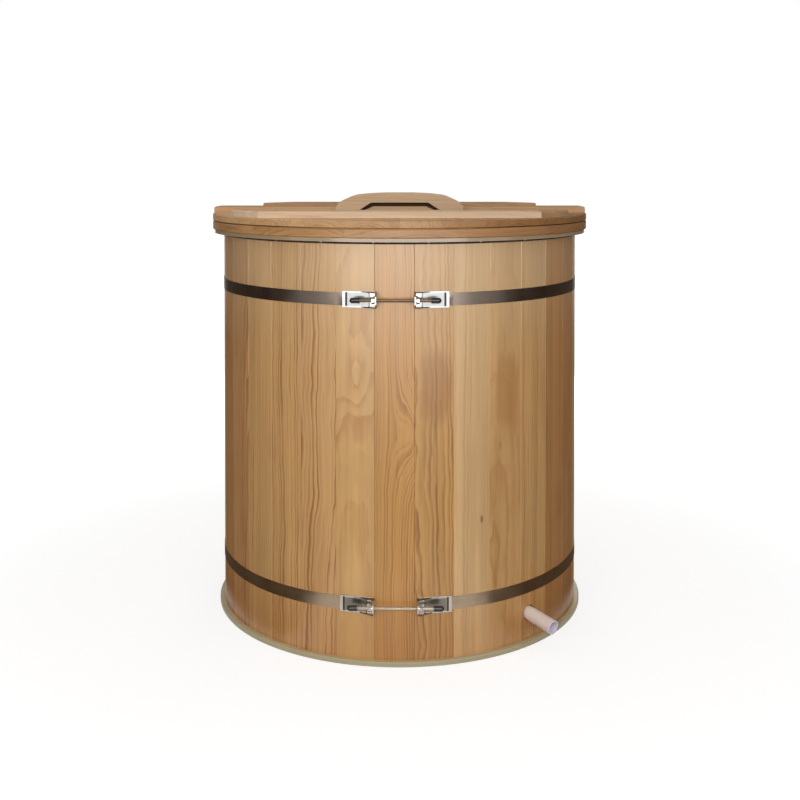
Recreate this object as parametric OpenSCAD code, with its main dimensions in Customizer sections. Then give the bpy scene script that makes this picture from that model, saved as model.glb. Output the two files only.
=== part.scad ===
// Cold plunge tub: a wooden barrel round a moulded inner tub, with a loose wooden lid.
// Millimetres. The origin is at the middle of the base's underside, +Z is up, and -Y is the
// front, where the hoop clasps are. An angle called turn is counted from the front towards +X.

/* [Staves] */
// Diameter over the staves
tub_d = 900; // [860:5:1000]
// Number of staves round the tub
stave_count = 32; // [24:1:32]
// Length of a stave
stave_l = 924; // [700:1:1000]
// Thickness of a stave
stave_t = 22; // [18:0.5:26]
// Width of the bevel along a stave's outer edges
stave_bevel = 0.6; // [0.3:0.1:2]
// Turn of the first joint between staves
stave_turn = 4.2; // [0:0.1:11]

/* [Base] */
// Thickness of the base plate
base_t = 10; // [8:0.5:16]
// How far the base plate stands out past the staves
base_overhang = 12; // [6:1:20]
// Chamfer on the base plate's upper edge
base_cut = 2; // [1:0.5:4]
// Height of the lip that centres the staves
base_lip_h = 14; // [8:1:20]
// Thickness of that lip
base_lip_t = 6; // [4:0.5:8]

/* [Inner tub] */
// Thickness of the foam between the wall and the staves
wall_foam_t = 22.6; // [20:0.2:50]
// Thickness of the wall
liner_t = 5; // [4:0.5:8]
// Thickness of the floor
liner_floor_t = 6; // [4:0.5:10]
// Radius between the wall and the floor
liner_corner = 6; // [3:1:7]
// Thickness of the flange on the staves
flange_t = 8; // [6:0.5:12]
// How far the flange stands back from the edge of the wooden rim
flange_inset = 3; // [1:0.5:8]
// Thickness of the foam under the floor
floor_foam_t = 30; // [24:1:40]

/* [Wooden rim] */
// Thickness of the rim
rim_t = 21; // [18:0.5:30]
// How far the rim stands out past the staves
rim_overhang = 28; // [26:1:32]
// How far the rim stands back from the bore of the inner tub
rim_setback = 2; // [0:0.5:6]
// Number of segments in the rim
rim_count = 12; // [8:1:16]
// Turn of the first joint between segments
rim_turn = -14.6; // [-20:0.1:0]
// Chamfer on the edges of the rim and the lid
edge_cut = 2.5; // [1:0.5:4]

/* [Lid] */
// Thickness of the lid panel
lid_t = 18; // [16:0.5:24]
// Number of boards glued into the panel
lid_boards = 10; // [6:1:12]
// Depth of the V grooves between the boards
lid_groove = 1.2; // [0.6:0.1:2]
// Thickness of the battens
batten_t = 15; // [14:0.5:22]
// Width of the battens
batten_w = 90; // [70:1:95]
// Rounding of the top edges at the batten ends, which follow the lid's edge
batten_round = 4; // [2:0.5:8]
// Chamfer along the battens' top edges
batten_cut = 1; // [0.5:0.25:3]
// Distance of the front batten's outer face from the lid's edge
front_batten_in = 128; // [108:1:168]
// Distance of the rear batten's outer face from the lid's edge
rear_batten_in = 113; // [108:1:168]
// How far the batten ends stop short of the lid's edge
batten_short = 2; // [1:0.5:10]

/* [Lid handle] */
// Length over the feet
handle_l = 324; // [300:2:360]
// Height of the handle
handle_h = 52; // [48:0.5:60]
// Depth from front to back
handle_d = 45; // [40:1:60]
// Chamfer round the front and back faces
handle_cut = 2; // [1:0.5:3]
// Height of the finger recess
recess_h = 27; // [22:0.5:32]
// Length of the recess at its foot
recess_foot_l = 228; // [190:2:240]
// Length of the recess at its top
recess_top_l = 144; // [120:2:160]
// Depth of the recess
recess_d = 30; // [20:1:35]
// Rounding of the recess's upper corners
recess_round = 9; // [4:0.5:12]

/* [Hoops] */
// Width of the band
hoop_w = 28.5; // [20:0.5:30]
// Thickness of the band
hoop_t = 1; // [0.8:0.1:1.5]
// Height of the lower hoop's middle above the foot of the staves
lower_hoop_up = 122; // [110:1:180]
// Distance of the upper hoop's middle below the top of the staves
upper_hoop_down = 127; // [60:1:200]
// Turn of both clasps
clasp_turn = -1.1; // [-10:0.1:10]
// Gap between the ears of the lower clasp
lower_gap = 95; // [70:1:120]
// Gap between the ears of the upper clasp
upper_gap = 83; // [70:1:120]

/* [Clasps] */
// Length of a lug's plate
lug_l = 77; // [74:1:90]
// Height of a lug's plate
lug_h = 36; // [34:0.5:42]
// Thickness of the lug's steel
lug_t = 3; // [2:0.25:4]
// Width of the lip outside the outer slot
lug_lip = 6.5; // [5:0.5:9]
// Width of the outer slot
slot_w = 5; // [4:0.5:6]
// Length of the bridge that the band lies on
bridge_l = 47.5; // [44:0.5:50]
// Width of the inner slot
tuck_w = 2.8; // [2.5:0.1:3.5]
// Height of both slots
slot_h = 31; // [30.5:0.5:32]
// Height of the ear at its tip
ear_tip_h = 18; // [16:0.5:26]
// Metal outside the rod's axis at the ear's tip
ear_tip = 10; // [9:0.5:12]
// Length of the gussets
gusset_l = 34; // [24:1:40]
// Height of the gussets at the ear
gusset_h = 12; // [8:0.5:14]
// Thickness of the gussets
gusset_t = 2; // [1.5:0.25:2.25]
// Diameter of the threaded rod
rod_d = 8; // [6:0.5:9]
// Distance of the rod's axis from the staves
rod_off = 15.5; // [14:0.5:18]
// Length of rod outside each nut
rod_tail = 46; // [30:1:50]
// Clearance round the rod in the ears
rod_clear = 0.5; // [0.2:0.1:0.8]
// Width of a nut across its flats
nut_w = 13; // [12:0.5:14]
// Height of a nut
nut_h = 6.5; // [5:0.5:8]
// Diameter of a washer
washer_d = 16; // [14:0.5:18]
// Thickness of a washer
washer_t = 1.6; // [1:0.1:2]
// Diameter of a rod cap
cap_d = 12.6; // [11:0.2:14]
// Length of a rod cap
cap_l = 22; // [16:0.5:26]

/* [Drain] */
// Turn of the drain
drain_turn = 41.5; // [30:0.5:60]
// Height of the drain's axis at the staves' outer face, above the foot of the staves
drain_up = 59.5; // [58:0.5:75]
// Angle that the drain falls at
drain_fall = 8.5; // [2:0.5:10]
// Outer diameter of the pipe
pipe_d = 32; // [30:0.5:34]
// Wall of the pipe
pipe_t = 3; // [2:0.5:4]
// Length of pipe outside the staves
pipe_out = 75; // [50:1:90]
// Length of smaller pipe just outside the staves, where a hose stops
pipe_neck = 7; // [5:0.5:12]
// How much smaller that neck is, all round
pipe_step = 0.5; // [0.3:0.1:1]
// Wall of the inner tub's spigot, inside the pipe
spigot_t = 3; // [2.5:0.25:3.5]
// Wall of the pipe round the spigot
socket_t = 1.5; // [1:0.25:2]
// Clearance round the pipe in its hole
pipe_clear = 2.5; // [1:0.5:3]
// Radius of the boss behind the drain's seat
boss_r = 24; // [23:0.5:26]
// Depth of the boss behind the wall's bore
boss_l = 17; // [15:0.5:19]
// Radius of the seat for the drain plug
seat_r = 18; // [16:0.5:19]
// Depth of that seat
seat_l = 6.5; // [6:0.5:8]
// Length of the plug's stem
plug_stem_l = 18; // [12:1:24]
// Thickness of the plug's head
plug_head_t = 5; // [4:0.5:6]
// Length of the plug's pull, with its knob
plug_pull_l = 13; // [10:0.5:16]
// Radius of the plug's knob
plug_knob_r = 9; // [7:0.5:12]
// Thickness of the plug's knob
plug_knob_t = 5; // [4:0.5:6]
// Radius of the plug's waist, below the knob
plug_waist_r = 4.5; // [3:0.5:6]

/* [Screws] */
// Radius of a screw's shank
screw_r = 2; // [1.5:0.25:2.5]
// Radius of a screw's head
screw_head_r = 4; // [3.5:0.25:4.5]
// Depth that a screw's head has beyond its cone of 45 degrees
screw_head_more = 0.6; // [0.3:0.1:1]
// Distance of a batten's last screws from its end
screw_inset = 40; // [20:1:60]
// Length of the screws in the rim
rim_screw_l = 22; // [16:1:25]
// Length of the screws in the lid
lid_screw_l = 30; // [24:1:32]

/* [Fits] */
// Gap between parts that seat on each other
seat = 0.2; // [0.1:0.05:0.3]
// Gap at the joints between staves and between rim segments
joint_gap = 0.2; // [0.1:0.05:0.5]
// Clearance all round a running or a pushed fit
fit = 0.05; // [0.02:0.01:0.1]

/* [Hidden] */
$fn = 120;
small_fn = 48;
over = 1;          // cutters run this far past what they cut
weld = 0.2;        // how far a welded piece stays inside the edges of what it is welded to
tub_r = tub_d / 2;
stave_in_r = tub_r - stave_t;
stave_step = 360 / stave_count;
stave_z0 = base_t;
stave_z1 = stave_z0 + stave_l;
liner_out_r = stave_in_r - 2 * seat - wall_foam_t;
liner_r = liner_out_r - liner_t;
floor_z0 = base_t + floor_foam_t;
floor_z1 = floor_z0 + liner_floor_t;
flange_z0 = stave_z1 + seat;
flange_z1 = flange_z0 + flange_t;
rim_z0 = flange_z1;
rim_z1 = rim_z0 + rim_t;
rim_r = tub_r + rim_overhang;
flange_r = rim_r - flange_inset;
lid_z0 = rim_z1 + seat;
lid_z1 = lid_z0 + lid_t;
batten_z1 = lid_z1 + batten_t;
board_w = 2 * rim_r / lid_boards;
front_batten_y = rim_r - front_batten_in;
rear_batten_y = rim_r - rear_batten_in;
lower_hoop_z = stave_z0 + lower_hoop_up;
upper_hoop_z = stave_z1 - upper_hoop_down;
plate_r = tub_r + seat;
rod_y = -(tub_r + rod_off);
rod_r = rod_d / 2;
cap_bead = 0.5;    // how far the cap's open end swells
cap_end = 1.5;     // thickness of the cap's closed end
drain_z = stave_z0 + drain_up;
drain_bore_s = -(tub_r - liner_r) / cos(drain_fall);
seat_s = drain_bore_s + seat_l;
boss_s = drain_bore_s + boss_l;
pipe_s0 = boss_s + fit;
spigot_s1 = -stave_t / 2;
spigot_r = pipe_d / 2 - pipe_step - socket_t;
pipe_bore_r = pipe_d / 2 - pipe_t;
plug_r = spigot_r - spigot_t - fit;
screw_head_h = screw_head_r - screw_r + screw_head_more;
rim_screw_at = (tub_r + flange_r) / 2;

function stave_name(i) = str("stave_", i < 10 ? "0" : "", i);

// A ring about Z between two radii and two heights
module ring(r_out, r_in, z0, z1) {
    difference() {
        translate([0, 0, z0]) cylinder(r = r_out, h = z1 - z0);
        translate([0, 0, z0 - over]) cylinder(r = r_in, h = z1 - z0 + 2 * over);
    }
}

// Children drawn along the drain: local Z runs outwards and down along its axis,
// from zero at the staves' outer face
module on_drain(s = 0) {
    rotate([0, 0, drain_turn])
        translate([0, -tub_r, drain_z])
            rotate([90 + drain_fall, 0, 0])
                translate([0, 0, s]) children();
}

// Children drawn in a clasp's own frame: X along its rod, -Y outwards, Z from the hoop's middle
module on_clasp(z) {
    rotate([0, 0, clasp_turn]) translate([0, 0, z]) children();
}

// The side view of a piece, in X and Z, pulled out along Y from y0 to y1
module side_view(y0, y1) {
    translate([0, y1, 0]) rotate([90, 0, 0]) linear_extrude(y1 - y0) children();
}

// Stave i: a sector of the barrel's wall with bevelled outer edges
stave_tones = ["#d1a878", "#c2945f", "#cda071", "#b98a58", "#d6b184", "#c59a6a", "#bf8e5b"];

module stave_section() {
    half = stave_step / 2;
    bevel_y = (tub_r - stave_bevel) * cos(half);
    side_x = (tub_r - stave_bevel) * sin(half) - joint_gap / 2;
    rise = tub_r * (1 - cos(half)) + stave_bevel + over;
    polygon([[0, 0], [side_x, -bevel_y], [side_x - rise, -bevel_y - rise],
             [rise - side_x, -bevel_y - rise], [-side_x, -bevel_y]]);
}

module stave(i) {
    color(stave_tones[i % len(stave_tones)])
        difference() {
            intersection() {
                ring(tub_r, stave_in_r, stave_z0, stave_z1);
                rotate([0, 0, stave_turn + (i - 0.5) * stave_step])
                    linear_extrude(stave_z1 + over) stave_section();
            }
            drain_hole();
        }
}

module drain_hole() {
    r = pipe_d / 2 - pipe_step + pipe_clear;
    reach = r * tan(drain_fall) + 2 * over;
    on_drain(-stave_t - reach) cylinder(r = r, h = stave_t + 2 * reach, $fn = small_fn);
}

module base_plate() {
    color("#a8a188")
        rotate_extrude() {
            r = tub_r + base_overhang;
            lip_r = stave_in_r - seat;
            polygon([[0, 0], [r, 0], [r, base_t - base_cut], [r - base_cut, base_t],
                     [lip_r, base_t], [lip_r, base_t + base_lip_h],
                     [lip_r - base_lip_t, base_t + base_lip_h], [lip_r - base_lip_t, base_t],
                     [0, base_t]]);
        }
}

module floor_foam() {
    color("#e8e4c9")
        translate([0, 0, base_t])
            cylinder(r = stave_in_r - 2 * seat - base_lip_t, h = floor_foam_t);
}

module wall_foam() {
    color("#efe9cf")
        difference() {
            ring(stave_in_r - seat, liner_out_r + seat, floor_z0, stave_z1);
            on_drain(boss_s - boss_l - over)
                cylinder(r = boss_r + over, h = -drain_bore_s, $fn = small_fn);
        }
}

// The inner tub: floor, wall and flange in one revolve, with the drain's boss and spigot
module liner() {
    color("#c9bfae")
        difference() {
            union() {
                rotate_extrude() liner_profile();
                difference() {
                    union() {
                        on_drain(drain_bore_s - over)
                            cylinder(r = boss_r, h = boss_l + over, $fn = small_fn);
                        on_drain(seat_s) cylinder(r = spigot_r, h = spigot_s1 - seat_s, $fn = small_fn);
                    }
                    translate([0, 0, floor_z1]) cylinder(r = liner_r, h = stave_l);
                }
            }
            on_drain(drain_bore_s - 2 * seat_l) cylinder(r = seat_r, h = 3 * seat_l, $fn = small_fn);
            on_drain(drain_bore_s - seat_l)
                cylinder(r = spigot_r - spigot_t, h = -drain_bore_s, $fn = small_fn);
            rim_screw_places() screw(rim_screw_l, fit);
        }
}

module liner_profile() {
    steps = 6;
    corner = [for (k = [0 : steps]) let (a = 90 * k / steps)
        [liner_r - liner_corner * (1 - cos(a)), floor_z1 + liner_corner * (1 - sin(a))]];
    polygon(concat(
        [[0, floor_z0], [liner_out_r, floor_z0], [liner_out_r, flange_z0], [flange_r, flange_z0],
         [flange_r, flange_z1], [liner_r + edge_cut, flange_z1], [liner_r, flange_z1 - edge_cut]],
        corner,
        [[0, floor_z1]]));
}

// The wooden rim: a ring with chamfered edges, cut into segments
module rim() {
    color("#b98555")
        difference() {
            rotate_extrude() {
                r_in = liner_r + rim_setback;
                polygon([[r_in + edge_cut, rim_z0], [rim_r - edge_cut, rim_z0],
                         [rim_r, rim_z0 + edge_cut], [rim_r, rim_z1 - edge_cut],
                         [rim_r - edge_cut, rim_z1], [r_in + edge_cut, rim_z1],
                         [r_in, rim_z1 - edge_cut], [r_in, rim_z0 + edge_cut]]);
            }
            for (i = [0 : rim_count - 1])
                rotate([0, 0, rim_turn + i * 360 / rim_count])
                    translate([-joint_gap / 2, -rim_r - over, rim_z0 - over])
                        cube([joint_gap, rim_r, rim_t + 2 * over]);
            rim_screw_places() screw(rim_screw_l, fit);
        }
}

// A countersunk screw whose head is flush at z = 0 and whose shank points up.
// The same shape, a little larger, is the hole that it sits in.
module screw(length, grow = 0) {
    translate([0, 0, -grow])
        cylinder(r1 = screw_head_r + grow, r2 = screw_r + grow, h = screw_head_h, $fn = small_fn);
    cylinder(r = screw_r + grow, h = length + grow, $fn = small_fn);
}

module rim_screw_places() {
    for (i = [0 : rim_count - 1], side = [-1, 1])
        rotate([0, 0, rim_turn + (i + 0.5 + side / 4) * 360 / rim_count])
            translate([0, -rim_screw_at, flange_z0]) children();
}

module rim_screws() {
    color("#b9bbbd") rim_screw_places() screw(rim_screw_l);
}

// A hoop: the band round the staves, then each end comes up through a lug's outer slot, lies
// on its bridge and tucks into its inner slot
function lug_turn(gap) = asin(gap / 2 / norm([plate_r, lug_l / 2])) + atan(lug_l / 2 / plate_r);
hoop_rise = 1.5;     // how far inside the outer slot's end the band leaves the staves
slot_x1 = lug_l / 2 - lug_lip;
slot_x0 = slot_x1 - slot_w;
tuck_x1 = slot_x0 - bridge_l;
tuck_x0 = tuck_x1 - tuck_w;

under_r = tub_r + seat / 2;
hoop_rise_x = slot_x1 - hoop_rise;
hoop_end_turn = asin(hoop_rise_x / under_r);

module hoop(gap, z) {
    end_turn = lug_turn(gap) + hoop_end_turn;
    color("#7d7366")
        on_clasp(z) {
            rotate([0, 0, end_turn - 90])
                rotate_extrude(angle = 360 - 2 * end_turn)
                    translate([under_r, -hoop_w / 2]) square([hoop_t, hoop_w]);
            for (side = [0, 1])
                mirror([side, 0, 0]) rotate([0, 0, lug_turn(gap)]) hoop_end();
        }
}

module hoop_end() {
    // it starts as a tongue inside the band, a little thinner and narrower than the band
    tongue = [sin(hoop_end_turn + 0.3), -cos(hoop_end_turn + 0.3)];
    top_y = plate_r + lug_t + seat / 2;
    tuck_y = plate_r + lug_t / 2;
    end_x = tuck_x1 - seat;
    translate([0, 0, weld - hoop_w / 2])
        linear_extrude(hoop_w - 2 * weld)
            polygon([(under_r + 0.2 * hoop_t) * tongue, [slot_x0 + seat, -top_y],
                     [end_x, -top_y], [end_x, -tuck_y], [end_x - hoop_t, -tuck_y],
                     [end_x - hoop_t, -top_y - hoop_t], [slot_x0 + seat, -top_y - hoop_t],
                     (under_r + 0.8 * hoop_t) * tongue]);
}

// The right-hand lug of a clasp: slotted plate, upright ear with the rod's hole, two gussets
module lug(gap) {
    m = lug_turn(gap);
    difference() {
        union() {
            rotate([0, 0, m])
                difference() {
                    translate([-lug_l / 2, -plate_r - lug_t, -lug_h / 2])
                        cube([lug_l, lug_t, lug_h]);
                    slot(slot_x0, slot_w);
                    slot(tuck_x0, tuck_w);
                }
            ear(gap);
            for (side = [0, 1])
                mirror([0, 0, side]) rotate([0, 0, m]) gusset(m);
        }
        translate([gap / 2 - over, rod_y, 0])
            rotate([0, 90, 0]) cylinder(r = rod_r + rod_clear, h = lug_t + 2 * over, $fn = small_fn);
    }
}

module slot(x0, w) {
    translate([x0, -plate_r - lug_t - over, -slot_h / 2]) cube([w, lug_t + 2 * over, slot_h]);
}

module ear(gap) {
    m = lug_turn(gap);
    foot_y = -(plate_r + lug_t / 2) * cos(m) - lug_l / 2 * sin(m);
    bend_y = foot_y - 2 * lug_t;
    tip_y = rod_y - ear_tip;
    foot_h = lug_h - 2 * weld;
    translate([gap / 2, 0, 0])
        rotate([90, 0, 90])
            linear_extrude(lug_t)
                polygon([[foot_y, -foot_h / 2], [bend_y, -foot_h / 2], [tip_y, -ear_tip_h / 2],
                         [tip_y, ear_tip_h / 2], [bend_y, foot_h / 2], [foot_y, foot_h / 2]]);
}

// The upper gusset, from inside the leaning ear down to the plate
module gusset(m) {
    top_y = -plate_r - lug_t;
    x0 = lug_t / 2 - lug_l / 2;
    lean = gusset_h * tan(m);
    translate([0, 0, lug_h / 2 - 2 * weld - gusset_t])
        linear_extrude(gusset_t)
            polygon([[x0, top_y + lug_t / 2], [x0 - lean, top_y - gusset_h],
                     [x0 + lug_t - lean, top_y - gusset_h], [gusset_l - lug_l / 2, top_y],
                     [gusset_l - lug_l / 2, top_y + lug_t / 2]]);
}

module lug_right(gap, z) {
    color("#d9d9d6") on_clasp(z) lug(gap);
}

module lug_left(gap, z) {
    color("#d9d9d6") on_clasp(z) mirror([1, 0, 0]) lug(gap);
}

// Children drawn along the rod, to the right from x, local Z pointing away from the clasp
module on_rod(x) {
    translate([x, rod_y, 0]) rotate([0, 90, 0]) children();
}

function washer_x(gap) = gap / 2 + lug_t;
function nut_x(gap) = washer_x(gap) + washer_t + fit;
function rod_end_x(gap) = nut_x(gap) + nut_h + rod_tail;

module rod(gap, z) {
    color("#8f8a80")
        on_clasp(z)
            on_rod(-rod_end_x(gap)) cylinder(r = rod_r, h = 2 * rod_end_x(gap), $fn = small_fn);
}

module nut(gap, z, side) {
    color("#a9a49b")
        on_clasp(z)
            mirror([side, 0, 0])
                on_rod(nut_x(gap))
                    difference() {
                        intersection() {
                            cylinder(r = nut_w / 2 / cos(30), h = nut_h, $fn = 6);
                            rotate_extrude($fn = small_fn) nut_cones();
                        }
                        translate([0, 0, -over])
                            cylinder(r = rod_r + fit, h = nut_h + 2 * over, $fn = small_fn);
                    }
}

// Two cones of 30 degrees that take the corners off a nut's two faces
module nut_cones() {
    r = nut_w / 2;
    far_r = r / cos(30) + over;
    reach = (far_r - r) * tan(30);
    polygon([[0, -over], [r - over / tan(30), -over], [far_r, reach], [far_r, nut_h - reach],
             [r - over / tan(30), nut_h + over], [0, nut_h + over]]);
}

module washer() {
    difference() {
        cylinder(d = washer_d, h = washer_t, $fn = small_fn);
        translate([0, 0, -over])
            cylinder(r = rod_r + seat, h = washer_t + 2 * over, $fn = small_fn);
    }
}

// A soft cap over the rod's end: domed, with a bead at its mouth
module rod_cap() {
    tube_l = cap_l - cap_d / 2;
    bead_l = 2;
    difference() {
        union() {
            cylinder(d = cap_d, h = tube_l, $fn = small_fn);
            cylinder(d = cap_d + 2 * cap_bead, h = bead_l, $fn = small_fn);
            intersection() {
                translate([0, 0, tube_l]) sphere(d = cap_d, $fn = small_fn);
                cylinder(d = cap_d, h = cap_l, $fn = small_fn);
            }
        }
        translate([0, 0, -over])
            cylinder(r = rod_r + fit, h = cap_l - cap_end + over, $fn = small_fn);
    }
}

module each_rod_end() {
    for (c = [[lower_gap, lower_hoop_z], [upper_gap, upper_hoop_z]], side = [0, 1])
        on_clasp(c[1]) mirror([side, 0, 0]) {
            $gap = c[0];
            children();
        }
}

module rod_washers() {
    color("#cfccc6") each_rod_end() on_rod(washer_x($gap)) washer();
}

module rod_caps() {
    color("#1c1c1c") each_rod_end() on_rod(rod_end_x($gap) + cap_end - cap_l) rod_cap();
}

// The drain pipe: its socket slips over the spigot, its outer end takes a hose
module drain_pipe() {
    color("#d8cdc8")
        difference() {
            union() {
                on_drain(pipe_s0)
                    cylinder(r = pipe_d / 2 - pipe_step, h = pipe_neck + over - pipe_s0, $fn = small_fn);
                on_drain(pipe_neck) cylinder(d = pipe_d, h = pipe_out - pipe_neck, $fn = small_fn);
            }
            on_drain(pipe_s0 - over)
                cylinder(r = spigot_r + fit, h = spigot_s1 + fit - pipe_s0 + over, $fn = small_fn);
            on_drain(spigot_s1)
                cylinder(r = pipe_bore_r, h = pipe_out - spigot_s1 + over, $fn = small_fn);
        }
}

// The drain plug: stem in the spigot, head in its seat, a waist and a knob to pull it by
module drain_plug() {
    color("#3a3a3c")
        on_drain(seat_s - fit) {
            cylinder(r = plug_r, h = plug_stem_l, $fn = small_fn);
            translate([0, 0, -plug_head_t])
                cylinder(r = seat_r - seat, h = plug_head_t, $fn = small_fn);
            translate([0, 0, -plug_head_t - plug_pull_l]) {
                cylinder(r = plug_waist_r, h = plug_pull_l + over, $fn = small_fn);
                cylinder(r = plug_knob_r, h = plug_knob_t, $fn = small_fn);
            }
        }
}

// The lid panel: boards from front to back, V grooves on both faces, chamfered edge
module lid_panel() {
    color("#bb9063")
        difference() {
            rotate_extrude()
                polygon([[0, lid_z0], [rim_r - edge_cut, lid_z0], [rim_r, lid_z0 + edge_cut],
                         [rim_r, lid_z1 - edge_cut], [rim_r - edge_cut, lid_z1], [0, lid_z1]]);
            for (i = [1 : lid_boards - 1], z = [lid_z0, lid_z1])
                translate([i * board_w - rim_r, 0, z])
                    rotate([0, 45, 0])
                        cube([lid_groove * sqrt(2), 2 * (rim_r + over), lid_groove * sqrt(2)],
                             center = true);
            lid_screw_places() screw(lid_screw_l, fit);
            handle_screw_places() screw(lid_screw_l, fit);
        }
}

// A batten from y0 to y0 + batten_w, its upper edges chamfered, its ends round with the lid
module batten(y0) {
    y1 = y0 + batten_w;
    color("#d3ad80")
        difference() {
            intersection() {
                rotate([90, 0, 90])
                    translate([0, 0, -rim_r])
                        linear_extrude(2 * rim_r)
                            polygon([[y0, lid_z1], [y1, lid_z1], [y1, batten_z1 - batten_cut],
                                     [y1 - batten_cut, batten_z1], [y0 + batten_cut, batten_z1],
                                     [y0, batten_z1 - batten_cut]]);
                rotate_extrude() batten_reach();
            }
            lid_screw_places() screw(lid_screw_l, fit);
        }
}

// Half the section of the disc that the battens' ends are cut to
module batten_reach() {
    r = rim_r - batten_short - batten_round;
    arc = [for (a = [0 : 30 : 90])
        [r + batten_round * cos(a), batten_z1 + batten_round * (sin(a) - 1)]];
    polygon(concat([[0, lid_z1 - over], [r + batten_round, lid_z1 - over]], arc,
                   [[r, batten_z1 + over], [0, batten_z1 + over]]));
}

module front_batten() {
    batten(-front_batten_y);
}

module centre_batten() {
    batten(-batten_w / 2);
}

module rear_batten() {
    batten(rear_batten_y - batten_w);
}

// Screws go down through each batten: four places along it, two at each
module lid_screw_places() {
    for (row = [batten_w / 2 - front_batten_y, 0, rear_batten_y - batten_w / 2])
        for (k = [-1, -1 / 3, 1 / 3, 1], side = [-1, 1]) {
            edge_y = abs(row) + batten_w / 2;
            x = k * (sqrt(pow(rim_r, 2) - pow(edge_y, 2)) - screw_inset);
            translate([x, row + side * batten_w / 4, batten_z1]) mirror([0, 0, 1]) children();
        }
}

// The lid handle stands on the panel, its back against the centre batten
handle_y1 = -batten_w / 2 - seat;
handle_y0 = handle_y1 - handle_d;

// Its right half from the foot up, as shares of half its length and of its height
handle_half = [[1, 0], [1, 0.28], [0.975, 0.4], [0.94, 0.52], [0.9, 0.6], [0.82, 0.72],
               [0.73, 0.84], [0.65, 0.9], [0.5, 0.95], [0.35, 0.98], [0.2, 0.995]];

module handle_outline() {
    half = [for (p = handle_half) [p[0] * handle_l / 2, p[1] * handle_h]];
    polygon(concat(half, [for (i = [len(half) - 1 : -1 : 0]) [-half[i][0], half[i][1]]]));
}

module recess_outline() {
    half_foot = recess_foot_l / 2;
    half_top = recess_top_l / 2;
    reach = (half_foot - half_top) / recess_h * recess_round * 2;
    intersection() {
        translate([-half_foot, -over]) square([2 * half_foot, recess_h + over]);
        offset(r = recess_round, $fn = 32)
            offset(delta = -recess_round)
                polygon([[half_foot + reach, -2 * recess_round], [half_top, recess_h],
                         [-half_top, recess_h], [-half_foot - reach, -2 * recess_round]]);
    }
}

module lid_handle() {
    color("#b99c7e")
        difference() {
            translate([0, 0, lid_z1])
                difference() {
                    hull() {
                        side_view(handle_y0, handle_y1) offset(delta = -handle_cut) handle_outline();
                        side_view(handle_y0 + handle_cut, handle_y1 - handle_cut) handle_outline();
                    }
                    side_view(handle_y0 - over, handle_y0 + recess_d) recess_outline();
                }
            handle_screw_places() screw(lid_screw_l, fit);
        }
}

// Screws go up through the panel into the handle's feet
module handle_screw_places() {
    foot_x = (handle_l + recess_foot_l) / 4;
    for (x = [-foot_x, foot_x], y = [handle_y0 + handle_d / 4, handle_y1 - handle_d / 4])
        translate([x, y, lid_z0]) children();
}

module lid_screws() {
    color("#b9bbbd") {
        lid_screw_places() screw(lid_screw_l);
        handle_screw_places() screw(lid_screw_l);
    }
}

for (i = [1 : stave_count]) stave(i);
base_plate();
floor_foam();
wall_foam();
liner();
rim();
rim_screws();
hoop(lower_gap, lower_hoop_z);  // lower_hoop
lug_left(lower_gap, lower_hoop_z);  // lower_lug_left
lug_right(lower_gap, lower_hoop_z);  // lower_lug_right
rod(lower_gap, lower_hoop_z);  // lower_rod
nut(lower_gap, lower_hoop_z, 1);  // lower_nut_left
nut(lower_gap, lower_hoop_z, 0);  // lower_nut_right
hoop(upper_gap, upper_hoop_z);  // upper_hoop
lug_left(upper_gap, upper_hoop_z);  // upper_lug_left
lug_right(upper_gap, upper_hoop_z);  // upper_lug_right
rod(upper_gap, upper_hoop_z);  // upper_rod
nut(upper_gap, upper_hoop_z, 1);  // upper_nut_left
nut(upper_gap, upper_hoop_z, 0);  // upper_nut_right
rod_washers();
rod_caps();
drain_pipe();
drain_plug();
lid_panel();
front_batten();
centre_batten();
rear_batten();
lid_handle();
lid_screws();
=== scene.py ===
"""Looks of the cold plunge tub: wood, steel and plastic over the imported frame, in metres."""

import math
import random

import bpy
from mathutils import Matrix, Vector
from mathutils.geometry import tessellate_polygon


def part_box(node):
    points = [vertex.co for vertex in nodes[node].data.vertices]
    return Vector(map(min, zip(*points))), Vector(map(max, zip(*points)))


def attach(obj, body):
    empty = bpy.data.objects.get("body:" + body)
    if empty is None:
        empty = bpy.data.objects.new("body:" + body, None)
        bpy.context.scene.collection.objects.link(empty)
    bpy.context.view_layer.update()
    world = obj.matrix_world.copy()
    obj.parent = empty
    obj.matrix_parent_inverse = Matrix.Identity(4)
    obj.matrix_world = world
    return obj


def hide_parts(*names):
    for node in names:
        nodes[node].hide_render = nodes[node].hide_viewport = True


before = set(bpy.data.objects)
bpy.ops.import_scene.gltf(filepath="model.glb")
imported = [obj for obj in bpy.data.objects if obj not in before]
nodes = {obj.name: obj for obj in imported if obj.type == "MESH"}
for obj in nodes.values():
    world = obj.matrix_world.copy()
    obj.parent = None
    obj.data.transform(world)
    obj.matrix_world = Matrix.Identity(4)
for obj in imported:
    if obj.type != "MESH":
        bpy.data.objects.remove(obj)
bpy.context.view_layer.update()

# Places and counts that the materials share with the frame. Turns about Z and the drain's fall
# are in degrees. Below, a fade is the length over which a look changes into the next
tub_r = 0.45
stave_count = 32
stave_turn = 4.2
rim_count = 12
rim_turn = -14.6
lid_boards = 10
clasp_turn = -1.1
drain_turn = 41.5
drain_fall = 8.5
drain_z = 0.0695
pipe_out = 0.075
pipe_bore_r = 0.013
pipe_edge_from = 0.0002
pipe_edge_to = 0.0006
rim_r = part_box("rim")[1].x
lid_low, lid_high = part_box("lid_panel")
stave_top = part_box("stave_01")[1].z

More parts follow.
